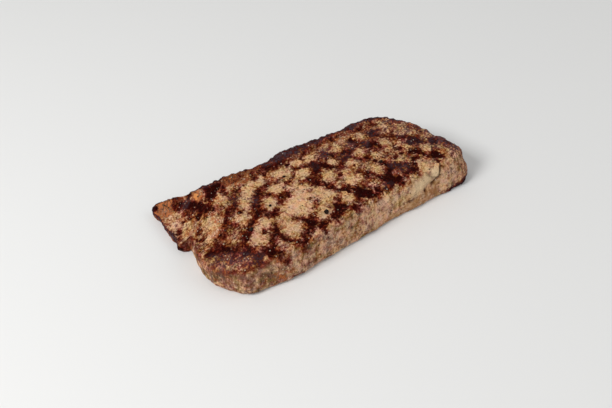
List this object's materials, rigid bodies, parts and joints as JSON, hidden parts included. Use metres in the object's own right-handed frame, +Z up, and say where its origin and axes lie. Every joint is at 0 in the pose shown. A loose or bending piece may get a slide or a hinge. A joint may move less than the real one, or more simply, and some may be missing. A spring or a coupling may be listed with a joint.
{
  "type": "grilled new york strip steak",
  "caption": "Grilled boneless strip steak, thick slab of beef with crossed grill marks, a charred fat edge and a thin tapering end.",
  "frame": {"origin": "under the middle of the steak, on the surface it rests on", "axes": "+X along the steak towards its thick squared end, +Y across it towards the charred fat edge, +Z up out of the grill-marked face"},
  "size_m": [0.1908, 0.0946, 0.0269],
  "materials": {
    "steak": "seared meat, slightly greasy, stands for cooked beef"
  },
  "bodies": {
    "root": {"steak": "steak"}
  },
  "joints": []
}
